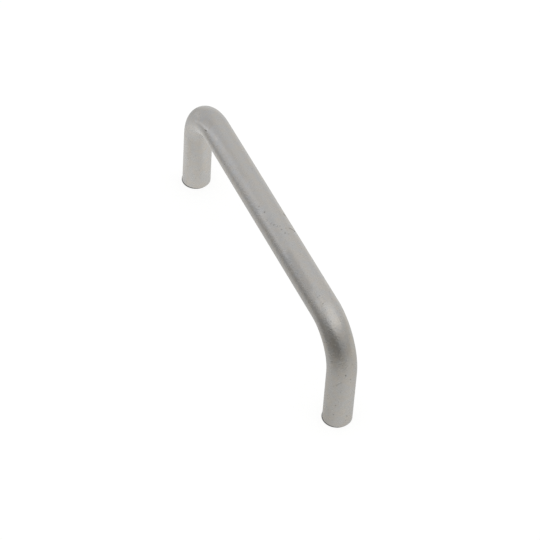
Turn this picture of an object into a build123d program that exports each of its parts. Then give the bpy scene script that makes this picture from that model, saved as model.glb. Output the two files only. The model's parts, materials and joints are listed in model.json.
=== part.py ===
"""Bar handle: one round bar bent twice into a square-shouldered loop, with a tapped hole in each foot.

The bar stands on its two feet. The mounting face is z = 0, the grip runs along X above it, and
the origin lies midway between the two screw holes. All sizes are in millimetres.
"""

import os
from math import radians, tan

from build123d import *

# Driving dimensions of the bent bar
BAR_DIAMETER = 8.0
HOLE_CENTRES = 96.0
PROJECTION = 33.5
INSIDE_BEND_RADIUS = 8.0
FOOT_CHAMFER = 0.3

# Driving dimensions of the screw hole in each foot: the tapping size for an M4 screw
TAPPING_DIAMETER = 3.3
DRILLED_DEPTH = 13.0
DRILL_POINT_ANGLE = 118.0
COUNTERSINK_DIAMETER = 4.2
COUNTERSINK_ANGLE = 90.0

# Sizes that follow from them
BAR_RADIUS = BAR_DIAMETER / 2
BEND_RADIUS = INSIDE_BEND_RADIUS + BAR_RADIUS
GRIP_HEIGHT = PROJECTION - BAR_RADIUS
LEG_X = HOLE_CENTRES / 2
LEG_LENGTH = GRIP_HEIGHT - BEND_RADIUS
GRIP_LENGTH = HOLE_CENTRES - 2 * BEND_RADIUS
TAPPING_RADIUS = TAPPING_DIAMETER / 2
COUNTERSINK_RADIUS = COUNTERSINK_DIAMETER / 2
COUNTERSINK_DEPTH = (COUNTERSINK_RADIUS - TAPPING_RADIUS) / tan(radians(COUNTERSINK_ANGLE / 2))
DRILL_POINT_DEPTH = TAPPING_RADIUS / tan(radians(DRILL_POINT_ANGLE / 2))


def bent_bar():
    """The bare bar: half of it is a leg, a quarter bend and half of the grip, and the other half mirrors it."""
    leg = extrude(Pos(LEG_X, 0, 0) * Circle(BAR_RADIUS), LEG_LENGTH)
    bend_start = Pos(LEG_X, 0, LEG_LENGTH) * Circle(BAR_RADIUS)
    bend_axis = Axis((LEG_X - BEND_RADIUS, 0, LEG_LENGTH), (0, -1, 0))
    bend = revolve(bend_start, bend_axis, 90)
    grip_middle = Plane((0, 0, GRIP_HEIGHT), x_dir=(0, 1, 0), z_dir=(1, 0, 0))
    half_grip = extrude(grip_middle * Circle(BAR_RADIUS), GRIP_LENGTH / 2)
    half = leg + bend + half_grip
    return half + mirror(half, Plane.YZ)


def screw_hole():
    """The space that a drill and a countersink take out of a foot, on the Z axis with its mouth at z = 0."""
    outline = Polyline(
        (0, 0),
        (COUNTERSINK_RADIUS, 0),
        (TAPPING_RADIUS, COUNTERSINK_DEPTH),
        (TAPPING_RADIUS, DRILLED_DEPTH),
        (0, DRILLED_DEPTH + DRILL_POINT_DEPTH),
        close=True,
    )
    return revolve(Plane.XZ * make_face(outline), Axis.Z)


def handle_bar():
    """The finished handle: the bent bar with the rim of each foot broken and both feet drilled."""
    bar = bent_bar()
    foot_rims = bar.edges().group_by(Axis.Z)[0]
    bar = chamfer(foot_rims, FOOT_CHAMFER)
    for side in (-1, 1):
        bar -= Pos(side * LEG_X, 0, 0) * screw_hole()
    return bar


os.makedirs("parts", exist_ok=True)
handle = handle_bar()
handle.label = "handle_bar"
export_step(handle, "parts/handle_bar.step")
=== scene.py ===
"""A bar handle in matt silver metal: one round bar, bent twice, with a tapped hole in each foot.

The frame gives the handle's place and its main sizes. The mounting face is z = 0, the grip runs along X,
and the origin lies midway between the two screw holes. Lengths are in metres and angles in radians.
"""

import json
import math
from collections import namedtuple

import bmesh
import bpy
from bpy.props import FloatProperty, FloatVectorProperty, PointerProperty
from mathutils import Matrix, Vector


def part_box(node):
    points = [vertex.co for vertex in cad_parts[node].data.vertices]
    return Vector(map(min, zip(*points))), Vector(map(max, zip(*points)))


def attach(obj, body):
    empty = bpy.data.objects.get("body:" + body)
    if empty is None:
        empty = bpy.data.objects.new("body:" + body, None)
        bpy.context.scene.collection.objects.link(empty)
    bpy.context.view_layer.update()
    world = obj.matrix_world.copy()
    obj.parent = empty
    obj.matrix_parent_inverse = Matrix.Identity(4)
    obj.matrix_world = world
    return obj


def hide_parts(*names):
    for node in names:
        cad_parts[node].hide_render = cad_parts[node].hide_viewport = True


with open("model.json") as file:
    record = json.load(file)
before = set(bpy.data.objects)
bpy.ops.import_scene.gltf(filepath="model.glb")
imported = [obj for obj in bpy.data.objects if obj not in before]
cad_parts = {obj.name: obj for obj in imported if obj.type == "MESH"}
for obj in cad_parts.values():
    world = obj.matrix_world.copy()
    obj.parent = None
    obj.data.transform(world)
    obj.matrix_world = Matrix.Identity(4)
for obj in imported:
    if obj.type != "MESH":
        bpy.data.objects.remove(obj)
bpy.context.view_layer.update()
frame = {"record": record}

bl_info = {
    "name": "Bar Handle",
    "version": (1, 0, 0),
    "blender": (4, 5, 0),
    "location": "View3D > Sidebar > Bar Handle",
    "description": "Makes a bent bar handle with tapped feet, matt metal finishes and a pale stage",
    "category": "Add Mesh",
}

MM = 0.001
NODE = "handle_bar"
PIECE = "bent_bar"
BODY = "root"
# Mesh layer with the dullness of pits and scratches and the painted shade and highlights of streaks
DULL_AND_PAINTED_LIGHT_LAYER = "dullness"
SKIN_MAP = "skin"

# Sizes that the frame gives
SCREWS = next(mount for mount in frame["record"]["mounts"] if mount["name"] == "fixing_screws")
HOLE_CENTRES = SCREWS["dims"]["spacing_x_mm"] * MM
TAPPING_DIAMETER = 2 * SCREWS["dims"]["hole_r_mm"] * MM
NODE_LOW, NODE_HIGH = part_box(NODE)
PROJECTION = NODE_HIGH.z - NODE_LOW.z
BAR_DIAMETER = NODE_HIGH.x - NODE_LOW.x - HOLE_CENTRES

# Resolution of the bar's mesh
COLUMNS = 96
STATION_STEP = 0.5 * MM
BEND_STEPS = 36
REFINE_REACHES = (0.8 * MM, 0.45 * MM, 0.2 * MM)
SHARP_ANGLE = math.radians(30)
MARK_WINDOW = 2 * MM
TINY = 0.001 * MM

# Depth at which a mark is fully dull
DULL_DEPTH = 0.07 * MM

# Material numbers of the mesh, after the bar's own 0
FACED = 1
THREADED = 2

# Form of the thread: slope of its flanks, flat at its root as a share of the pitch, turns of its run-out
FLANK_SLOPE = math.radians(30)
ROOT_FLAT = 1 / 8
RUN_OUT_TURNS = 2

# Noise of the metal: its detail, the band of it that is used, how much broader the second grain is, and
# how far shade and roughness swing about their means
GRAIN_DETAIL = 2.0
GRAIN_BAND = (0.3, 0.7)
BROAD_GRAIN = 4.0
SHADE_SWING = 0.05
ROUGHNESS_SWING = 0.08
MOTTLE_DETAIL = 3.0
MOTTLE_BAND = (0.35, 0.65)

# How much finer the pattern is on the feet and in the threads than on the bar
FACED_FINER = 2
THREAD_FINER = 3
THREAD_MOTTLE_FINER = 4

# Stage: the painted shadow under each foot, where the floor's glow is left out for the camera, fades
# between two shares of the bar's radius and leans to one side
FLOOR_REACH = 3.0
SCREEN_SIDES = 96
GAUZE_GAP = 0.01 * MM
PAINTED_SHADOW_FADE = (0.955, 1.01)
PAINTED_SHADOW_SLIP = Vector((-0.11 * MM, -0.22 * MM, 0))
SENSOR_WIDTH = 36

# Patches of the screen that dim or lift what is mirrored: where round the stage the middle is, how far out
# as a share of the screen's radius and how high, how much the patch is stretched sideways and upwards, how
# far from the middle it starts and stops to fade, and the light that its middle lets through.
Patch = namedtuple("Patch", "turn out height across upright core edge shade")
SCREEN_PATCHES = (
    Patch(math.radians(262), 1, -25 * MM, 1.4, 0.63, 37 * MM, 150 * MM, (0.43, 0.426, 0.42)),
    Patch(math.radians(316), 1, 62 * MM, 1.5, 0.7, 48 * MM, 195 * MM, (0.485, 0.48, 0.465)),
    Patch(math.radians(53), 1, 11 * MM, 0.95, 1.5, 44 * MM, 102 * MM, (0.82, 0.81, 0.78)),
    Patch(math.radians(214), 1, 46 * MM, 2.0, 3.0, 37 * MM, 81 * MM, (0.885, 0.89, 0.905)),
    Patch(math.radians(252), 1, 40 * MM, 1.4, 0.42, 14 * MM, 23 * MM, (0.81, 0.81, 0.81)),
    Patch(math.radians(321), 1, 73 * MM, 1.9, 1.4, 31 * MM, 42 * MM, (0.62, 0.612, 0.602)),
    Patch(math.radians(222.5), 1, 61 * MM, 1.2, 2.15, 16 * MM, 41 * MM, (1.195, 1.21, 1.24)),
    Patch(math.radians(183), 0.24, 0, 0.7, 1.0, 3 * MM, 15 * MM, (0.91, 0.91, 0.91)),
    Patch(math.radians(190), 0.47, 0, 1.0, 1.0, 4 * MM, 16 * MM, (1.13, 1.13, 1.13)),
    Patch(math.radians(182), 0.85, 0, 0.6, 1.2, 12 * MM, 44 * MM, (0.74, 0.75, 0.75)),
    Patch(math.radians(352), 0.37, 0, 1.0, 1.0, 1 * MM, 6 * MM, (0.90, 0.90, 0.90)),
    Patch(math.radians(7), 0.43, 0, 1.0, 1.0, 4 * MM, 15 * MM, (1.08, 1.08, 1.08)),
)

# Marks on the bar. A place is a distance along the bar from the middle of the grip, towards the near leg,
# and an angle round it from the outside of the loop towards +Y. Width is from the middle of a mark to its
# edge, and a depth below nothing is a raised burr. The last value is the share of dull metal in the middle
# of a pit or scratch. A streak without depth is painted light: above nothing it is painted shade, and
# below nothing it is a painted highlight in brighter metal.
Mark = namedtuple("Mark", "along around end_along end_around width depth dullness")


def pit(along, around, width, depth):
    """A round dent, with its place in millimetres and degrees and its sizes in millimetres."""
    return scratch(along, around, along, around, width, depth)


def scratch(along, around, end_along, end_around, width, depth):
    """A straight groove between two places, in millimetres and degrees."""
    dullness = max(0.0, depth * MM / DULL_DEPTH)
    return dull_and_painted_streak(along, around, end_along, end_around, width, dullness)._replace(depth=depth * MM)


def dull_and_painted_streak(along, around, end_along, end_around, width, dullness):
    """A streak without depth between two places; alone, darker is painted shade, brighter a painted
    highlight.
    """
    start = (along * MM, math.radians(around))
    end = (end_along * MM, math.radians(end_around))
    return Mark(*start, *end, width * MM, 0.0, dullness)


MARKS = (
    pit(-71.75, -63, 0.45, -0.15),
    pit(-41.0, -42, 0.30, 0.04),
    scratch(-35.6, -66, -35.0, -61, 0.28, 0.065),
    pit(-1.7, -37, 0.36, 0.04),
    pit(1.0, -30, 0.34, 0.075),
    scratch(3.0, 43, 3.6, 47, 0.30, 0.10),
    pit(5.5, -32, 0.30, 0.035),
    pit(6.4, -25, 0.34, 0.055),
    pit(7.4, -17, 0.32, 0.03),
    pit(7.7, -7, 0.32, 0.03),
    pit(9.0, -9, 0.36, 0.045),
    pit(8.9, 10, 0.32, 0.03),
    scratch(9.0, 24, 9.7, 43, 0.30, 0.06),
    pit(9.9, 45, 0.40, 0.13),
    pit(10.6, -4, 0.38, 0.045),
    pit(11.2, 5, 0.34, 0.03),
    pit(33.9, 28, 0.26, 0.05),
    pit(34.5, -27, 0.28, 0.035),
    pit(36.5, 20, 0.24, 0.04),
    pit(36.9, -22, 0.26, 0.04),
    pit(38.4, -31, 0.24, 0.02),
    pit(49.5, -60, 0.26, 0.06),
    pit(52.8, -11, 0.32, 0.065),
    pit(54.2, 10, 0.26, 0.06),
    scratch(54.6, -25, 55.4, -37, 0.36, 0.016),
    pit(55.2, 12, 0.24, 0.03),
    scratch(55.5, -40, 56.6, -53, 0.36, 0.012),
    pit(58.3, -26, 0.22, 0.04),
    pit(61.6, -42, 0.22, 0.03),
    pit(61.6, -78, 0.24, 0.04),
    pit(63.7, -40, 0.28, 0.06),
    pit(66.0, -77, 0.26, 0.05),
    pit(66.6, -68, 0.24, 0.05),
    pit(67.4, -44, 0.28, 0.06),
    scratch(68.0, 8, 68.5, 10, 0.25, 0.035),
    pit(69.9, 6, 0.24, 0.03),
    # Streaks without depth: painted shade where the last value is above nothing, painted highlights below
    # nothing
    dull_and_painted_streak(-41.5, -74, -35, -56, 0.6, -0.42),
    dull_and_painted_streak(-39.5, -55, -35.5, -32, 1.5, 0.15),
    dull_and_painted_streak(-35, -54, -30, -41, 0.9, -0.16),
    dull_and_painted_streak(-30, -40, -18, -31, 1.0, -0.09),
    dull_and_painted_streak(-35, -70, -24, -72, 1.2, 0.14),
    dull_and_painted_streak(-12, -33, 2, -33, 1.5, -0.11),
    dull_and_painted_streak(0, -46, 18, -46, 0.65, -0.19),
    dull_and_painted_streak(17, -33, 31, -34, 1.3, 0.20),
    dull_and_painted_streak(35.2, -20, 36.4, -17, 0.6, -0.15),
    dull_and_painted_streak(35.6, -34, 39, -48, 0.9, -0.24),
    dull_and_painted_streak(43.5, -2, 43.5, -2, 1.8, 0.16),
    dull_and_painted_streak(51, -12, 51, -12, 1.6, 0.12),
)


class HandleSizes(bpy.types.PropertyGroup):
    """Sizes of the bar and of the screw holes in its feet."""

    bar_diameter: FloatProperty(
        name="Bar diameter", description="Diameter of the round bar", default=BAR_DIAMETER, unit="LENGTH"
    )
    hole_centres: FloatProperty(
        name="Hole centres",
        description="Distance between the two screw holes",
        default=HOLE_CENTRES,
        unit="LENGTH",
    )
    projection: FloatProperty(
        name="Projection",
        description="Height of the handle over its mounting face",
        default=PROJECTION,
        unit="LENGTH",
    )
    inside_bend_radius: FloatProperty(
        name="Inside bend radius", description="Radius inside each bend", default=8.0 * MM, unit="LENGTH"
    )
    foot_chamfer: FloatProperty(
        name="Foot chamfer",
        description="Width of the broken edge round each foot",
        default=0.3 * MM,
        unit="LENGTH",
    )
    tapping_diameter: FloatProperty(
        name="Tapping diameter",
        description="Diameter of the drilled hole",
        default=TAPPING_DIAMETER,
        unit="LENGTH",
    )
    thread_diameter: FloatProperty(
        name="Thread diameter", description="Major diameter of the thread", default=4.0 * MM, unit="LENGTH"
    )
    thread_pitch: FloatProperty(
        name="Thread pitch", description="Rise of the thread in one turn", default=0.7 * MM, unit="LENGTH"
    )
    countersink_diameter: FloatProperty(
        name="Countersink", description="Width of the hole at its mouth", default=4.2 * MM, unit="LENGTH"
    )
    tapped_depth: FloatProperty(
        name="Tapped depth", description="Depth that the thread reaches", default=10.5 * MM, unit="LENGTH"
    )
    drilled_depth: FloatProperty(
        name="Drilled depth",
        description="Depth of the hole without its point",
        default=13.0 * MM,
        unit="LENGTH",
    )
    drill_point: FloatProperty(
        name="Drill point",
        description="Angle of the drill's point",
        default=math.radians(118),
        subtype="ANGLE",
    )


class HandleFinish(bpy.types.PropertyGroup):
    """Colours and grain of the metal, and the colour of its painted highlights."""

    silver: FloatVectorProperty(
        name="Silver",
        description="Colour of the matt metal",
        default=(0.514, 0.488, 0.449),
        subtype="COLOR",
    )
    cool_silver: FloatVectorProperty(
        name="Cool silver",
        description="Cooler patches of the metal",
        default=(0.495, 0.488, 0.473),
        subtype="COLOR",
    )
    # Dull metal of pits and scratches, also the colour of the painted shade in darker streaks
    dull_metal_and_painted_shade: FloatVectorProperty(
        name="Dull metal",
        description="Metal in pits and scratches, and painted shade in darker streaks",
        default=(0.19, 0.178, 0.162),
        subtype="COLOR",
    )
    cut_silver: FloatVectorProperty(
        name="Cut metal",
        description="Machined metal of the feet and threads",
        default=(0.53, 0.515, 0.495),
        subtype="COLOR",
    )
    # Painted highlight: the brighter colour that streaks below nothing are painted with
    painted_highlight: FloatVectorProperty(
        name="Painted highlight",
        description="Colour of the painted highlights",
        default=(0.77, 0.745, 0.71),
        subtype="COLOR",
    )
    edge_tint: FloatVectorProperty(
        name="Edge tint",
        description="Reflection at a glancing angle",
        default=(0.83, 0.83, 0.83),
        subtype="COLOR",
    )
    roughness: FloatProperty(
        name="Roughness",
        description="Roughness of the matt metal",
        default=0.29,
        subtype="FACTOR",
        min=0,
        max=1,
    )
    cut_roughness: FloatProperty(
        name="Cut roughness",
        description="Roughness of the machined metal",
        default=0.28,
        subtype="FACTOR",
        min=0,
        max=1,
    )
    grain_size: FloatProperty(
        name="Grain size",
        description="Size of the blasted grain along the bar",
        default=0.35 * MM,
        unit="LENGTH",
    )
    grain_stretch: FloatProperty(
        name="Grain stretch",
        description="How much longer the grain is round the bar than along it",
        default=1.5,
    )
    grain_depth: FloatProperty(
        name="Grain depth", description="Depth of the blasted grain", default=0.06 * MM, unit="LENGTH"
    )
    mottle_size: FloatProperty(
        name="Mottle size",
        description="Size of the warmer and cooler patches",
        default=1.8 * MM,
        unit="LENGTH",
    )
    speck_spacing: FloatProperty(
        name="Speck spacing",
        description="Distance between tiny pits in the metal",
        default=1.3 * MM,
        unit="LENGTH",
    )
    speck_radius: FloatProperty(
        name="Speck radius", description="Size of the largest tiny pits", default=0.22 * MM, unit="LENGTH"
    )
    far_grain: FloatProperty(
        name="Far grain",
        description="How strong the grain's shade is at the far leg",
        default=0.35,
        min=0,
        max=1,
    )
    near_grain: FloatProperty(
        name="Near grain",
        description="How strong the grain's shade is at the near leg",
        default=0.95,
        min=0,
        max=1,
    )
    far_specks: FloatProperty(
        name="Far specks",
        description="How dull the tiny pits are at the far leg",
        default=0.1,
        min=0,
        max=1,
    )
    near_specks: FloatProperty(
        name="Near specks",
        description="How dull the tiny pits are at the near leg",
        default=0.4,
        min=0,
        max=1,
    )
    turning_feed: FloatProperty(
        name="Turning feed",
        description="Spacing of the turning lines on the feet",
        default=0.12 * MM,
        unit="LENGTH",
    )
    turning_depth: FloatProperty(
        name="Turning depth", description="Depth of the turning lines", default=0.005 * MM, unit="LENGTH"
    )


class HandleStage(bpy.types.PropertyGroup):
    """Floor, light and camera."""

    floor_colour: FloatVectorProperty(
        name="Floor", description="Colour of the floor", default=(0.2, 0.2, 0.2), subtype="COLOR"
    )
    floor_glow: FloatVectorProperty(
        name="Floor glow",
        description="What makes the floor white where it is seen or mirrored",
        default=(0.849, 0.848, 0.843),
        subtype="COLOR",
    )
    room_colour: FloatVectorProperty(
        name="Room", description="Even light of the room", default=(0.853, 0.857, 0.867), subtype="COLOR"
    )
    softbox_width: FloatProperty(
        name="Softbox width", description="Width of the softbox along X", default=194 * MM, unit="LENGTH"
    )
    softbox_depth: FloatProperty(
        name="Softbox depth", description="Depth of the softbox along Y", default=228 * MM, unit="LENGTH"
    )
    softbox_radiance: FloatProperty(
        name="Softbox",
        description="How much brighter the softbox is than the room behind it",
        default=0.22,
    )
    softbox_x: FloatProperty(
        name="Softbox X",
        description="Where the middle of the softbox is along X",
        default=47.4 * MM,
        unit="LENGTH",
    )
    softbox_y: FloatProperty(
        name="Softbox Y",
        description="Where the middle of the softbox is along Y",
        default=19 * MM,
        unit="LENGTH",
    )
    softbox_rise: FloatProperty(
        name="Softbox rise",
        description="Height of the softbox over the screen",
        default=4 * MM,
        unit="LENGTH",
    )
    screen_radius: FloatProperty(
        name="Screen radius", description="Radius of the gauze screen", default=132 * MM, unit="LENGTH"
    )
    screen_height: FloatProperty(
        name="Screen height", description="Height of the gauze screen", default=224 * MM, unit="LENGTH"
    )
    azimuth: FloatProperty(
        name="Azimuth",
        description="Side that the camera looks from",
        default=math.radians(63.43),
        subtype="ANGLE",
    )
    elevation: FloatProperty(
        name="Elevation",
        description="Height that the camera looks from",
        default=math.radians(45.84),
        subtype="ANGLE",
    )
    roll: FloatProperty(
        name="Roll",
        description="Turn of the camera about its line of sight",
        default=math.radians(3.92),
        subtype="ANGLE",
    )
    distance: FloatProperty(
        name="Distance",
        description="Distance from the camera to the handle",
        default=771.1 * MM,
        unit="LENGTH",
    )
    slide_right: FloatProperty(
        name="Slide right", description="Shift of the camera to its right", default=0.9 * MM, unit="LENGTH"
    )
    slide_up: FloatProperty(
        name="Slide up",
        description="Shift of the camera upwards in its own plane",
        default=-3.885 * MM,
        unit="LENGTH",
    )
    lens: FloatProperty(
        name="Lens", description="Focal length on a 36 mm sensor, in millimetres", default=190.25
    )


class BentPath:
    """The bar's middle line: half of the grip, a quarter bend and a leg, and the same mirrored."""

    def __init__(self, sizes):
        self.radius = sizes.bar_diameter / 2
        self.bend_radius = sizes.inside_bend_radius + self.radius
        self.leg_x = sizes.hole_centres / 2
        self.grip_height = sizes.projection - self.radius
        self.leg = self.grip_height - self.bend_radius
        self.half_grip = self.leg_x - self.bend_radius
        self.bend = self.bend_radius * math.pi / 2
        self.half_length = self.half_grip + self.bend + self.leg

    def at(self, along):
        """The middle of the section at a distance along the bar, and the way out of the loop there."""
        side = math.copysign(1, along)
        distance = abs(along)
        if distance <= self.half_grip:
            turn = 0.0
            x, z = distance, self.grip_height
        elif distance <= self.half_grip + self.bend:
            turn = (distance - self.half_grip) / self.bend_radius
            x = self.half_grip + self.bend_radius * math.sin(turn)
            z = self.leg + self.bend_radius * math.cos(turn)
        else:
            turn = math.pi / 2
            x, z = self.leg_x, self.half_length - distance
        return Vector((side * x, 0, z)), Vector((side * math.sin(turn), 0, math.cos(turn)))

    def point(self, along, around, radius):
        """A point at an angle round the bar and a distance from its middle line."""
        middle, outward = self.at(along)
        direction = outward * math.cos(around) + Vector((0, math.sin(around), 0))
        return middle + direction * radius


def spaced(start, end, steps):
    """Evenly spaced values from start up to, but without, end."""
    return [start + (end - start) * step / steps for step in range(steps)]


def stations(path, foot_chamfer):
    """Distances along the bar at which its section is drawn, from foot to foot."""
    bend_end = path.half_grip + path.bend
    last = path.half_length - foot_chamfer
    half = spaced(0, path.half_grip, round(path.half_grip / STATION_STEP))
    half += spaced(path.half_grip, bend_end, BEND_STEPS)
    half += spaced(bend_end, last, round((last - bend_end) / STATION_STEP))
    half.append(last)
    return [-along for along in reversed(half[1:])] + half


def distance_to_mark(mark, along, around, radius):
    """Distance over the surface from a place on the bar to the middle of a mark, endless if it is far."""
    low, high = sorted((mark.along, mark.end_along))
    if not low - MARK_WINDOW < along < high + MARK_WINDOW:
        return math.inf
    start = Vector((mark.along, mark.around * radius))
    run = Vector((mark.end_along, mark.end_around * radius)) - start
    offset = Vector((along, around * radius)) - start
    share = 0.0
    if run.length_squared > 0:
        share = min(1.0, max(0.0, offset.dot(run) / run.length_squared))
    return (offset - run * share).length


def pressed(along, around, radius):
    """How deep the marks press in at a place, and its dullness with painted shade and highlights."""
    depth = 0.0
    dullness = 0.0
    for mark in MARKS:
        near = distance_to_mark(mark, along, around, radius) / mark.width
        if near < 1:
            share = (1 - near * near) ** 2
            depth += share * mark.depth
            dullness += share * mark.dullness
    return depth, min(dullness, 1.0)


def unrolled_sheet(bm, path, foot_chamfer):
    """The bar's skin laid flat, X along the bar and Y round it, in a grid that is finer at the marks."""
    bm.verts.layers.float.new(DULL_AND_PAINTED_LIGHT_LAYER)
    skin = bm.loops.layers.uv.new(SKIN_MAP)
    half_turn = math.pi * path.radius
    widths = spaced(-half_turn, half_turn, COLUMNS) + [half_turn]
    rows = stations(path, foot_chamfer)
    grid = [[bm.verts.new((along, width, 0)) for width in widths] for along in rows]
    for row, following in zip(grid, grid[1:]):
        for column in range(COLUMNS):
            bm.faces.new((row[column], following[column], following[column + 1], row[column + 1]))
    for reach in REFINE_REACHES:
        near = [edge for edge in bm.edges if edge_near_mark(edge, path.radius, reach)]
        bmesh.ops.subdivide_edges(bm, edges=near, cuts=1, use_grid_fill=True, use_single_edge=True)
    for face in bm.faces:
        for corner in face.loops:
            corner[skin].uv = corner.vert.co.xy


def edge_near_mark(edge, radius, reach):
    """Whether both ends of an edge of the flat skin lie on a mark or within reach of one."""
    for mark in MARKS:
        if not mark.depth:
            continue
        limit = mark.width + reach
        if all(distance_to_mark(mark, v.co.x, v.co.y / radius, radius) < limit for v in edge.verts):
            return True
    return False


def roll_up(bm, path):
    """Bends the flat skin round the path, presses the marks in and welds the seam inside the loop."""
    dull = bm.verts.layers.float[DULL_AND_PAINTED_LIGHT_LAYER]
    half_turn = math.pi * path.radius
    seam = [vert for vert in bm.verts if abs(abs(vert.co.y) - half_turn) < TINY]
    for vert in bm.verts:
        along, around = vert.co.x, vert.co.y / path.radius
        depth, vert[dull] = pressed(along, around, path.radius)
        vert.co = path.point(along, around, path.radius - depth)
    bmesh.ops.remove_doubles(bm, verts=seam, dist=TINY)


def ring_of(bm, axis_x, directions, radius, height):
    """A ring of points about a leg's axis."""
    return [bm.verts.new(Vector((axis_x, 0, height)) + direction * radius) for direction in directions]


def strip(bm, first, second, material):
    """A closed strip of faces between two rings."""
    count = len(first)
    for column in range(count):
        following = (column + 1) % count
        face = bm.faces.new((first[column], second[column], second[following], first[following]))
        face.material_index = material


def thread_rows(bm, axis_x, directions, sizes):
    """The countersunk thread in rows of points that climb a pitch in a turn, and the rows in a turn."""
    drilled = sizes.tapping_diameter / 2
    root = sizes.thread_diameter / 2
    mouth = sizes.countersink_diameter / 2
    pitch = sizes.thread_pitch
    flank = (root - drilled) * math.tan(FLANK_SLOPE)
    root_flat = ROOT_FLAT * pitch
    crest_flat = pitch - 2 * flank - root_flat
    profile = (
        (0, drilled),
        (crest_flat, drilled),
        (crest_flat + flank, root),
        (crest_flat + flank + root_flat, root),
    )
    run_out = RUN_OUT_TURNS * pitch
    # One turn starts below the mouth, and one ends past the tapped depth
    turns = math.ceil(sizes.tapped_depth / pitch) + 2
    columns = len(directions)
    rows = []
    for turn in range(turns):
        for rise, radius in profile:
            row = []
            for column, direction in enumerate(directions):
                height = (turn - 1 + column / columns) * pitch + rise
                height = min(max(height, 0), sizes.tapped_depth)
                fade = min(1.0, (sizes.tapped_depth - height) / run_out)
                cut = max(drilled + (radius - drilled) * fade, mouth - height)
                row.append(bm.verts.new(Vector((axis_x, 0, height)) + direction * cut))
            rows.append(row)
    return rows, len(profile)


def screw_hole(bm, axis_x, directions, sizes):
    """A blind hole in a foot: countersink, thread, plain bore and drill point."""
    rows, rows_per_turn = thread_rows(bm, axis_x, directions, sizes)
    columns = len(directions)
    for index in range(len(rows) - 1):
        for column in range(columns):
            following, shift = column + 1, 0
            if following == columns:
                following, shift = 0, rows_per_turn
            if index + shift + 1 >= len(rows):
                continue
            corners = (
                rows[index][column],
                rows[index + 1][column],
                rows[index + shift + 1][following],
                rows[index + shift][following],
            )
            bm.faces.new(corners).material_index = THREADED
    drilled = sizes.tapping_diameter / 2
    bore_top = ring_of(bm, axis_x, directions, drilled, sizes.tapped_depth)
    bore_end = ring_of(bm, axis_x, directions, drilled, sizes.drilled_depth)
    strip(bm, bore_top, bore_end, THREADED)
    point_height = sizes.drilled_depth + drilled / math.tan(sizes.drill_point / 2)
    point = bm.verts.new((axis_x, 0, point_height))
    for column in range(columns):
        following = (column + 1) % columns
        bm.faces.new((bore_end[column], point, bore_end[following])).material_index = THREADED
    return [vert for row in rows for vert in row] + bore_top


def close_foot(bm, path, side, sizes):
    """The broken edge, the faced end and the screw hole of one foot, from the open end of the skin."""
    axis_x = side * path.leg_x
    on_side = [vert for vert in bm.verts if side * vert.co.x > 0]
    rim = [vert for vert in on_side if abs(vert.co.z - sizes.foot_chamfer) < TINY]
    rim.sort(key=lambda vert: math.atan2(vert.co.y, vert.co.x - axis_x))
    directions = [Vector((vert.co.x - axis_x, vert.co.y, 0)).normalized() for vert in rim]
    mouth = sizes.countersink_diameter / 2
    face_edge = path.radius - sizes.foot_chamfer
    edge = ring_of(bm, axis_x, directions, face_edge, 0)
    middle = ring_of(bm, axis_x, directions, (face_edge + mouth) / 2, 0)
    inner = ring_of(bm, axis_x, directions, mouth, 0)
    strip(bm, rim, edge, FACED)
    strip(bm, edge, middle, FACED)
    strip(bm, middle, inner, FACED)
    hole = screw_hole(bm, axis_x, directions, sizes)
    bmesh.ops.remove_doubles(bm, verts=inner + hole, dist=TINY)


def bar_mesh(sizes):
    """The whole handle as one closed mesh."""
    path = BentPath(sizes)
    bm = bmesh.new()
    unrolled_sheet(bm, path, sizes.foot_chamfer)
    roll_up(bm, path)
    for side in (-1, 1):
        close_foot(bm, path, side, sizes)
    bmesh.ops.recalc_face_normals(bm, faces=bm.faces)
    open_edges = [edge for edge in bm.edges if not edge.is_manifold]
    if open_edges:
        raise RuntimeError(f"the bar's mesh has {len(open_edges)} open edges")
    for face in bm.faces:
        face.smooth = True
    mesh = bpy.data.meshes.new(PIECE)
    bm.to_mesh(mesh)
    bm.free()
    mesh.set_sharp_from_angle(angle=SHARP_ANGLE)
    return mesh


def add_node(tree, kind, **settings):
    """A node with its settings, and the plain values of its inputs given by name."""
    node = tree.nodes.new(kind)
    for name, value in settings.pop("inputs", {}).items():
        node.inputs[name].default_value = value
    for name, value in settings.items():
        setattr(node, name, value)
    return node


def math_node(tree, operation, first, second=0.0):
    """A Math node fed by sockets or plain numbers, and its output."""
    node = add_node(tree, "ShaderNodeMath", operation=operation)
    for socket, value in zip(node.inputs, (first, second)):
        feed(tree, socket, value)
    return node.outputs[0]


def feed(tree, socket, value):
    """Links a socket to another, or gives it a plain value."""
    if isinstance(value, bpy.types.NodeSocket):
        tree.links.new(value, socket)
    else:
        socket.default_value = value


def mixed_colour(tree, share, first, second, blend="MIX"):
    """A blend of two colours, which may be sockets or plain colours."""
    node = add_node(tree, "ShaderNodeMix", data_type="RGBA", blend_type=blend)
    used = [socket for socket in node.inputs if socket.enabled]
    for socket, value in zip(used, (share, first, second)):
        feed(tree, socket, value)
    return next(socket for socket in node.outputs if socket.enabled)


def noise(tree, place, size, detail):
    """Noise of a given size at a place."""
    node = add_node(tree, "ShaderNodeTexNoise", inputs={"Detail": detail})
    tree.links.new(place, node.inputs["Vector"])
    feed(tree, node.inputs["Scale"], math_node(tree, "DIVIDE", 1.0, size))
    return node.outputs["Fac"]


def ranged(tree, value, low, high, at_low, at_high):
    """A value moved smoothly from one range to another and held at its ends."""
    node = add_node(tree, "ShaderNodeMapRange", interpolation_type="SMOOTHSTEP")
    names = ("Value", "From Min", "From Max", "To Min", "To Max")
    for name, given in zip(names, (value, low, high, at_low, at_high)):
        feed(tree, node.inputs[name], given)
    return node.outputs["Result"]


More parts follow.
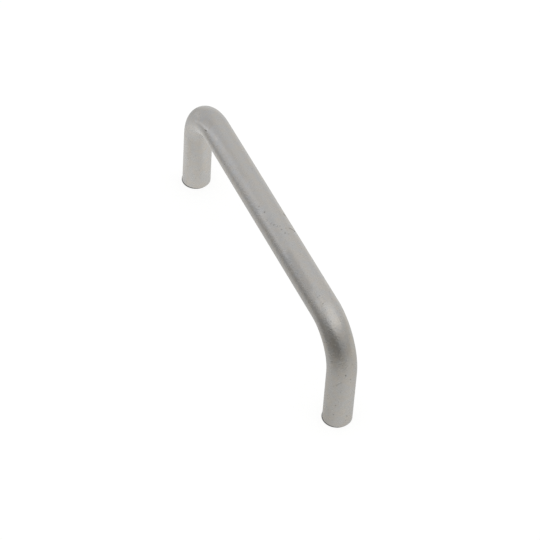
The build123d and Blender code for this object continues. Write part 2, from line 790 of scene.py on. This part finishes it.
def new_group(name, inputs, outputs):
    """An empty shader group with its sockets, and its input and output nodes."""
    group = bpy.data.node_groups.new(name, "ShaderNodeTree")
    for socket_name, kind in inputs:
        group.interface.new_socket(socket_name, in_out="INPUT", socket_type=f"NodeSocket{kind}")
    for socket_name, kind in outputs:
        group.interface.new_socket(socket_name, in_out="OUTPUT", socket_type=f"NodeSocket{kind}")
    return group, add_node(group, "NodeGroupInput"), add_node(group, "NodeGroupOutput")


def grain_group():
    """Blasted grain: the height of the finely pitted skin, and a roughness and a shade that waver."""
    group, given, result = new_group(
        "Blasted grain",
        (("Place", "Vector"), ("Size", "Float"), ("Roughness", "Float")),
        (("Height", "Float"), ("Roughness", "Float"), ("Shade", "Float")),
    )
    place = given.outputs["Place"]
    size = given.outputs["Size"]
    fine = noise(group, place, size, GRAIN_DETAIL)
    broad = noise(group, place, math_node(group, "MULTIPLY", size, BROAD_GRAIN), GRAIN_DETAIL)
    group.links.new(math_node(group, "ADD", fine, broad), result.inputs["Height"])
    shade = ranged(group, fine, *GRAIN_BAND, 1 - SHADE_SWING, 1 + SHADE_SWING)
    group.links.new(shade, result.inputs["Shade"])
    waver = ranged(group, broad, *GRAIN_BAND, 1 - ROUGHNESS_SWING, 1 + ROUGHNESS_SWING)
    roughness = math_node(group, "MULTIPLY", waver, given.outputs["Roughness"])
    group.links.new(roughness, result.inputs["Roughness"])
    return group


def mottle_group():
    """Patches of two near colours that blend into each other."""
    group, given, result = new_group(
        "Metal mottle",
        (("Place", "Vector"), ("Size", "Float"), ("First", "Color"), ("Second", "Color")),
        (("Color", "Color"),),
    )
    patches = noise(group, given.outputs["Place"], given.outputs["Size"], MOTTLE_DETAIL)
    share = ranged(group, patches, *MOTTLE_BAND, 0.0, 1.0)
    blend = mixed_colour(group, share, given.outputs["First"], given.outputs["Second"])
    group.links.new(blend, result.inputs["Color"])
    return group


def speck_group():
    """Tiny scattered pits of many sizes, full in their middle."""
    group, given, result = new_group(
        "Tiny pits",
        (("Place", "Vector"), ("Spacing", "Float"), ("Radius", "Float")),
        (("Mask", "Float"),),
    )
    cells = add_node(group, "ShaderNodeTexVoronoi")
    group.links.new(given.outputs["Place"], cells.inputs["Vector"])
    feed(group, cells.inputs["Scale"], math_node(group, "DIVIDE", 1.0, given.outputs["Spacing"]))
    edge = math_node(group, "DIVIDE", given.outputs["Radius"], given.outputs["Spacing"])
    group.links.new(ranged(group, cells.outputs["Distance"], 0.0, edge, 1.0, 0.0), result.inputs["Mask"])
    return group


def placed_group(tree, group, **values):
    """A group in a material, with its inputs given as sockets or plain values."""
    node = add_node(tree, "ShaderNodeGroup", node_tree=group)
    for name, value in values.items():
        feed(tree, node.inputs[name], value)
    return node


def colour(values):
    """A colour property as a four-part socket value."""
    return (*values, 1.0)


def new_material(name):
    """An empty material with its Principled shader."""
    material = bpy.data.materials.new(name)
    material.use_nodes = True
    tree = material.node_tree
    return material, tree, tree.nodes["Principled BSDF"]


def new_metal(name, finish):
    """A bare metal, its node tree and shader, and the place on the object that its patterns follow."""
    material, tree, shader = new_material(name)
    shader.inputs["Metallic"].default_value = 1.0
    shader.inputs["Specular Tint"].default_value = colour(finish.edge_tint)
    return material, tree, shader, add_node(tree, "ShaderNodeTexCoord").outputs["Object"]


def add_bump(tree, shader, height, depth):
    """A bump on the shader from a height, with the depth that a height of one stands for."""
    bump = add_node(tree, "ShaderNodeBump", inputs={"Distance": depth})
    tree.links.new(height, bump.inputs["Height"])
    tree.links.new(bump.outputs["Normal"], shader.inputs["Normal"])


def nearer(tree, place, at_far, at_near):
    """A value that grows from the far leg to the near one."""
    parts = add_node(tree, "ShaderNodeSeparateXYZ")
    tree.links.new(place, parts.inputs["Vector"])
    return ranged(tree, parts.outputs["X"], -HOLE_CENTRES / 2, HOLE_CENTRES / 2, at_far, at_near)


def matt_silver(finish, grain, mottle, pits):
    """Blasted and anodised bar: grain, faint patches, tiny pits, dull marks, painted shade and highlights.
    """
    material, tree, shader, place = new_metal("matt silver", finish)
    skin = add_node(tree, "ShaderNodeUVMap", uv_map=SKIN_MAP)
    stretch = add_node(tree, "ShaderNodeVectorMath", operation="MULTIPLY")
    stretch.inputs[1].default_value = (1.0, 1.0 / finish.grain_stretch, 1.0)
    tree.links.new(skin.outputs["UV"], stretch.inputs[0])
    blast = placed_group(
        tree, grain, Place=stretch.outputs["Vector"], Size=finish.grain_size, Roughness=finish.roughness
    )
    patches = placed_group(
        tree,
        mottle,
        Place=place,
        Size=finish.mottle_size,
        First=colour(finish.silver),
        Second=colour(finish.cool_silver),
    )
    specks = placed_group(
        tree, pits, Place=place, Spacing=finish.speck_spacing, Radius=finish.speck_radius
    )
    # The mark layer holds the dullness of pits and scratches and the painted shade and highlights of
    # streaks
    marks = add_node(tree, "ShaderNodeAttribute", attribute_name=DULL_AND_PAINTED_LIGHT_LAYER)
    depth_of_specks = nearer(tree, place, finish.far_specks, finish.near_specks)
    speckle = math_node(tree, "MULTIPLY", specks.outputs["Mask"], depth_of_specks)
    dullness = math_node(tree, "MAXIMUM", marks.outputs["Fac"], speckle)
    depth_of_grain = nearer(tree, place, finish.far_grain, finish.near_grain)
    plain = patches.outputs["Color"]
    grained = mixed_colour(tree, depth_of_grain, plain, blast.outputs["Shade"], "MULTIPLY")
    dulled_and_shaded = mixed_colour(tree, dullness, grained, colour(finish.dull_metal_and_painted_shade))
    # Painted highlight: where the mark layer is below nothing, the colour goes towards the highlight
    # colour
    highlight_share = math_node(tree, "MULTIPLY", marks.outputs["Fac"], -1.0)
    highlighted = mixed_colour(tree, highlight_share, dulled_and_shaded, colour(finish.painted_highlight))
    tree.links.new(highlighted, shader.inputs["Base Color"])
    tree.links.new(blast.outputs["Roughness"], shader.inputs["Roughness"])
    height = math_node(tree, "SUBTRACT", blast.outputs["Height"], specks.outputs["Mask"])
    add_bump(tree, shader, height, finish.grain_depth)
    return material


def from_hole_axis(tree, place):
    """How far a place is from the axis of the screw hole on its side."""
    parts = add_node(tree, "ShaderNodeSeparateXYZ")
    tree.links.new(place, parts.inputs["Vector"])
    flat = add_node(tree, "ShaderNodeCombineXYZ")
    beside = math_node(tree, "ABSOLUTE", parts.outputs["X"])
    tree.links.new(math_node(tree, "SUBTRACT", beside, HOLE_CENTRES / 2), flat.inputs["X"])
    tree.links.new(parts.outputs["Y"], flat.inputs["Y"])
    radius = add_node(tree, "ShaderNodeVectorMath", operation="LENGTH")
    tree.links.new(flat.outputs["Vector"], radius.inputs[0])
    return radius.outputs["Value"]


def turning_lines(tree, place, finish):
    """The height of fine lines turned round the axis of each screw hole."""
    turns = math_node(tree, "MULTIPLY", from_hole_axis(tree, place), 2 * math.pi / finish.turning_feed)
    return math_node(tree, "SINE", turns)


def faced_metal(finish, grain, mottle, pits):
    """The faced end of a foot: cut metal with turning lines and a few tiny pits."""
    material, tree, shader, place = new_metal("faced foot", finish)
    grain_size = finish.grain_size / FACED_FINER
    blast = placed_group(tree, grain, Place=place, Size=grain_size, Roughness=finish.cut_roughness)
    patches = placed_group(
        tree,
        mottle,
        Place=place,
        Size=finish.mottle_size / FACED_FINER,
        First=colour(finish.cut_silver),
        Second=colour(finish.silver),
    )
    speck_radius = finish.speck_radius / FACED_FINER
    specks = placed_group(tree, pits, Place=place, Spacing=finish.speck_spacing, Radius=speck_radius)
    plain = patches.outputs["Color"]
    pitted = mixed_colour(tree, specks.outputs["Mask"], plain, colour(finish.dull_metal_and_painted_shade))
    tree.links.new(pitted, shader.inputs["Base Color"])
    tree.links.new(blast.outputs["Roughness"], shader.inputs["Roughness"])
    add_bump(tree, shader, turning_lines(tree, place, finish), finish.turning_depth)
    return material


def cut_thread(finish, grain, mottle):
    """The tapped hole: bright cut metal, rough along the flanks."""
    material, tree, shader, place = new_metal("cut thread", finish)
    grain_size = finish.grain_size / THREAD_FINER
    blast = placed_group(tree, grain, Place=place, Size=grain_size, Roughness=finish.cut_roughness)
    patches = placed_group(
        tree,
        mottle,
        Place=place,
        Size=finish.mottle_size / THREAD_MOTTLE_FINER,
        First=colour(finish.cut_silver),
        Second=colour(finish.silver),
    )
    tree.links.new(patches.outputs["Color"], shader.inputs["Base Color"])
    tree.links.new(blast.outputs["Roughness"], shader.inputs["Roughness"])
    add_bump(tree, shader, blast.outputs["Height"], finish.grain_depth / THREAD_FINER)
    return material


def metals(finish):
    """The three finishes of the handle, in the order of the mesh's material numbers."""
    grain = grain_group()
    mottle = mottle_group()
    pits = speck_group()
    return (
        matt_silver(finish, grain, mottle, pits),
        faced_metal(finish, grain, mottle, pits),
        cut_thread(finish, grain, mottle),
    )


def linked(name, data):
    """A new object in the scene."""
    made = bpy.data.objects.new(name, data)
    bpy.context.scene.collection.objects.link(made)
    return made


class HANDLE_OT_bent_bar(bpy.types.Operator):
    """Make the bent bar with its marks, feet and screw holes"""

    bl_idname = "handle.bent_bar"
    bl_label = "Make Bent Bar"

    def execute(self, context):
        scene = context.scene
        bar = linked(PIECE, bar_mesh(scene.handle_sizes))
        for material in metals(scene.handle_finish):
            bar.data.materials.append(material)
        bar.visible_glossy = False
        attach(bar, BODY)
        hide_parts(NODE)
        return {"FINISHED"}


def plain_material(name, values):
    """An even, matt finish for things on the stage."""
    material, _, shader = new_material(name)
    shader.inputs["Base Color"].default_value = colour(values)
    shader.inputs["Roughness"].default_value = 1.0
    shader.inputs["Specular IOR Level"].default_value = 0.0
    return material


def lay_floor(stage, sizes):
    """A wide pale floor that keeps the handle's shadow, with a painted shadow under the edge of each foot.
    """
    mesh = bpy.data.meshes.new("floor")
    corners = [(x * FLOOR_REACH, y * FLOOR_REACH, 0) for x, y in ((-1, -1), (1, -1), (1, 1), (-1, 1))]
    mesh.from_pydata(corners, [], [(0, 1, 2, 3)])
    floor = linked("floor", mesh)
    floor.location.z = -2 * GAUZE_GAP
    material = plain_material("pale floor", stage.floor_colour)
    tree = material.node_tree
    shader = tree.nodes["Principled BSDF"]
    shader.inputs["Emission Color"].default_value = colour(stage.floor_glow)
    place = add_node(tree, "ShaderNodeTexCoord").outputs["Object"]
    foot = sizes.bar_diameter / 2
    slipped = add_node(tree, "ShaderNodeVectorMath", operation="SUBTRACT")
    tree.links.new(place, slipped.inputs[0])
    slipped.inputs[1].default_value = PAINTED_SHADOW_SLIP
    from_foot = from_hole_axis(tree, slipped.outputs["Vector"])
    # Painted shadow: the glow is left out for the camera under the edge of each foot, slid to one side
    outside_painted_shadow = ranged(tree, from_foot, PAINTED_SHADOW_FADE[0] * foot, PAINTED_SHADOW_FADE[1] * foot, 0.0, 1.0)
    rays = add_node(tree, "ShaderNodeLightPath")
    seen = math_node(tree, "MULTIPLY", rays.outputs["Is Camera Ray"], outside_painted_shadow)
    glossy, passed = rays.outputs["Is Glossy Ray"], rays.outputs["Is Transmission Ray"]
    mirrored = math_node(tree, "MAXIMUM", glossy, passed)
    tree.links.new(math_node(tree, "MAXIMUM", seen, mirrored), shader.inputs["Emission Strength"])
    mesh.materials.append(material)


def light_room(stage):
    """Even pale surroundings."""
    world = bpy.data.worlds.new("pale room")
    world.use_nodes = True
    world.node_tree.nodes["Background"].inputs["Color"].default_value = colour(stage.room_colour)
    bpy.context.scene.world = world


def hang_softbox(stage):
    """One softbox overhead, just over the screen."""
    lamp = bpy.data.lights.new("softbox", "AREA")
    lamp.shape = "RECTANGLE"
    lamp.size = stage.softbox_width
    lamp.size_y = stage.softbox_depth
    lamp.energy = math.pi * lamp.size * lamp.size_y * stage.softbox_radiance
    softbox = linked("softbox", lamp)
    softbox.location = (stage.softbox_x, stage.softbox_y, stage.screen_height + stage.softbox_rise)
    softbox.visible_camera = False


def gauze(stage):
    """A see-through cloth that dims or lifts what lies behind it, most in the middle of each patch."""
    material, tree, shader = new_material("gauze")
    place = add_node(tree, "ShaderNodeTexCoord").outputs["Object"]
    cloth = colour((1, 1, 1))
    for patch in SCREEN_PATCHES:
        local = add_node(tree, "ShaderNodeMapping", vector_type="TEXTURE")
        tree.links.new(place, local.inputs["Vector"])
        middle = Vector((patch.out * stage.screen_radius, 0, patch.height))
        middle.rotate(Matrix.Rotation(patch.turn, 3, "Z"))
        local.inputs["Location"].default_value = middle
        local.inputs["Rotation"].default_value = (0, 0, patch.turn)
        local.inputs["Scale"].default_value = (1, patch.across, patch.upright)
        away = add_node(tree, "ShaderNodeVectorMath", operation="LENGTH")
        tree.links.new(local.outputs["Vector"], away.inputs[0])
        share = ranged(tree, away.outputs["Value"], patch.core, patch.edge, 1.0, 0.0)
        cloth = mixed_colour(tree, share, cloth, colour(patch.shade), "MULTIPLY")
    clear = add_node(tree, "ShaderNodeBsdfTransparent")
    tree.links.new(cloth, clear.inputs["Color"])
    tree.links.new(clear.outputs["BSDF"], tree.nodes["Material Output"].inputs["Surface"])
    tree.nodes.remove(shader)
    return material


def mirrored_only(prop):
    """Leaves a thing on the stage to be seen in the metal alone."""
    prop.visible_camera = False
    prop.visible_diffuse = False
    prop.visible_shadow = False


def stand_screen(stage):
    """A round gauze screen with a gauze floor, which only the metal mirrors."""
    turns = [2 * math.pi * side / SCREEN_SIDES for side in range(SCREEN_SIDES)]
    ring = [(stage.screen_radius * math.cos(turn), stage.screen_radius * math.sin(turn)) for turn in turns]
    low = [(x, y, -GAUZE_GAP) for x, y in ring]
    high = [(x, y, stage.screen_height) for x, y in ring]
    walls = []
    for side in range(SCREEN_SIDES):
        following = (side + 1) % SCREEN_SIDES
        walls.append((side, following, SCREEN_SIDES + following, SCREEN_SIDES + side))
    mesh = bpy.data.meshes.new("screen")
    mesh.from_pydata(low + high, [], walls + [tuple(range(SCREEN_SIDES))])
    mesh.materials.append(gauze(stage))
    mirrored_only(linked("screen", mesh))


def place_camera(stage, sizes):
    """The camera, turned about its line of sight and slid in its own plane."""
    sight_x = math.sin(stage.azimuth) * math.cos(stage.elevation)
    sight_y = -math.cos(stage.azimuth) * math.cos(stage.elevation)
    back = Vector((sight_x, sight_y, math.sin(stage.elevation)))
    level = Vector((math.cos(stage.azimuth), math.sin(stage.azimuth), 0))
    upright = back.cross(level)
    right = level * math.cos(stage.roll) + upright * math.sin(stage.roll)
    up = upright * math.cos(stage.roll) - level * math.sin(stage.roll)
    target = Vector((0, 0, (sizes.projection - sizes.bar_diameter / 2) / 2))
    camera = linked("camera", bpy.data.cameras.new("camera"))
    camera.data.sensor_width = SENSOR_WIDTH
    camera.data.lens = stage.lens
    eye = target + back * stage.distance + right * stage.slide_right + up * stage.slide_up
    camera.matrix_world = Matrix.Translation(eye) @ Matrix((right, up, back)).transposed().to_4x4()
    bpy.context.scene.camera = camera


class HANDLE_OT_stage(bpy.types.Operator):
    """Lay the floor, set the lights and place the camera"""

    bl_idname = "handle.stage"
    bl_label = "Make Stage"

    def execute(self, context):
        scene = context.scene
        scene.view_settings.view_transform = "Standard"
        lay_floor(scene.handle_stage, scene.handle_sizes)
        light_room(scene.handle_stage)
        hang_softbox(scene.handle_stage)
        stand_screen(scene.handle_stage)
        place_camera(scene.handle_stage, scene.handle_sizes)
        return {"FINISHED"}


class VIEW3D_PT_bar_handle(bpy.types.Panel):
    """Sizes, finish and stage of the bar handle"""

    bl_label = "Bar Handle"
    bl_space_type = "VIEW_3D"
    bl_region_type = "UI"
    bl_category = "Bar Handle"

    def draw(self, context):
        layout = self.layout
        for group in (context.scene.handle_sizes, context.scene.handle_finish, context.scene.handle_stage):
            box = layout.box()
            for name in group.__annotations__:
                box.prop(group, name)
        layout.operator(HANDLE_OT_bent_bar.bl_idname)
        layout.operator(HANDLE_OT_stage.bl_idname)


CLASSES = (
    HandleSizes,
    HandleFinish,
    HandleStage,
    HANDLE_OT_bent_bar,
    HANDLE_OT_stage,
    VIEW3D_PT_bar_handle,
)


def register():
    """Adds the classes and hangs their settings on the scene."""
    for cls in CLASSES:
        bpy.utils.register_class(cls)
    bpy.types.Scene.handle_sizes = PointerProperty(type=HandleSizes)
    bpy.types.Scene.handle_finish = PointerProperty(type=HandleFinish)
    bpy.types.Scene.handle_stage = PointerProperty(type=HandleStage)


def unregister():
    """Takes the settings and the classes away again."""
    del bpy.types.Scene.handle_stage
    del bpy.types.Scene.handle_finish
    del bpy.types.Scene.handle_sizes
    for cls in reversed(CLASSES):
        bpy.utils.unregister_class(cls)


def main():
    register()
    bpy.ops.handle.bent_bar()
    bpy.ops.handle.stage()


if __name__ == "__main__":
    main()
